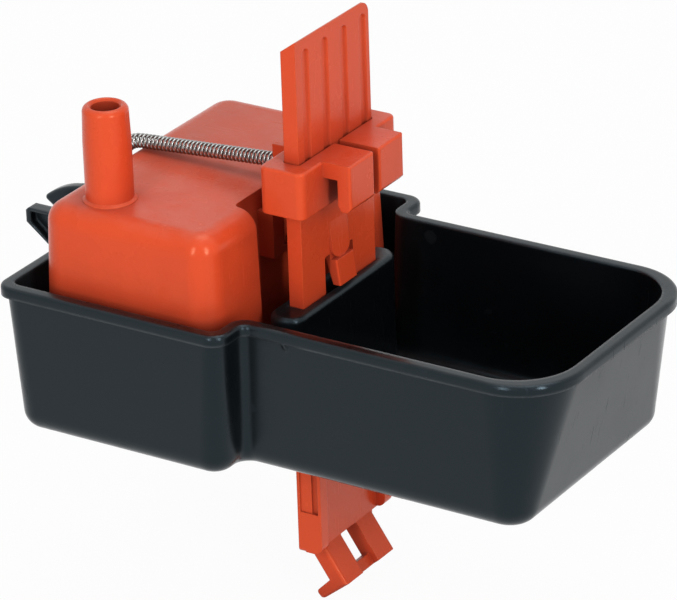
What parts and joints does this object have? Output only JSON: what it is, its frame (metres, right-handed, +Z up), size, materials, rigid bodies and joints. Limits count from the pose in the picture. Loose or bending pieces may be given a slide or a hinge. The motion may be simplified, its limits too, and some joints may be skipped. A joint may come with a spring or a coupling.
{
  "type": "livestock water trough",
  "caption": "Automatic float drinker for a wire cage: stepped black trough, float valve under a moulded housing with hose tail, clamped on by a hooked slide plate and a tension spring.",
  "frame": {"origin": "On the centre line, at the step between the reservoir and the bowl, level with the trough's rim.", "axes": "+X towards the drinking bowl and through the cage wall, +Y across the trough, +Z up."},
  "size_m": [0.1863, 0.104, 0.1643],
  "materials": {
    "trough_plastic": "satin moulded black",
    "orange_plastic": "glossy moulded orange",
    "float_plastic": "natural white",
    "valve_plastic": "natural grey",
    "rubber": "matt black",
    "steel": "drawn wire"
  },
  "bodies": {
    "drinker": {"trough": "trough_plastic", "float_housing": "orange_plastic", "valve_seat": "valve_plastic", "seat_ring": "rubber", "stem_guide": "valve_plastic", "pivot_pin": "steel", "pin_clips": "steel", "clamp_bracket": "orange_plastic", "retaining_spring": "steel"},
    "slide": {"clamp_slide": "orange_plastic"},
    "float": {"float_arm": "valve_plastic", "float_shell": "float_plastic", "float_lid": "float_plastic", "float_screw": "steel", "float_nut": "steel"},
    "stem": {"valve_stem": "valve_plastic", "stem_pad": "rubber"}
  },
  "joints": [
    {"name": "slide_travel", "type": "slide", "parent": "drinker", "child": "slide", "axis": [0, 0, 1], "range_m": [-0.0012, 0.008]},
    {"name": "float_swing", "type": "hinge", "parent": "drinker", "child": "float", "pos_m": [-0.0465, -0.039, -0.006], "axis": [1, 0, 0], "range_deg": [0, 9]},
    {"name": "stem_lift", "type": "slide", "parent": "drinker", "child": "stem", "axis": [0, 0, 1], "range_m": [0, 0.0011]}
  ],
  "couplings": [
    {"joint": "stem_lift", "follows": "float_swing", "m_per_rad": 0.0069}
  ]
}
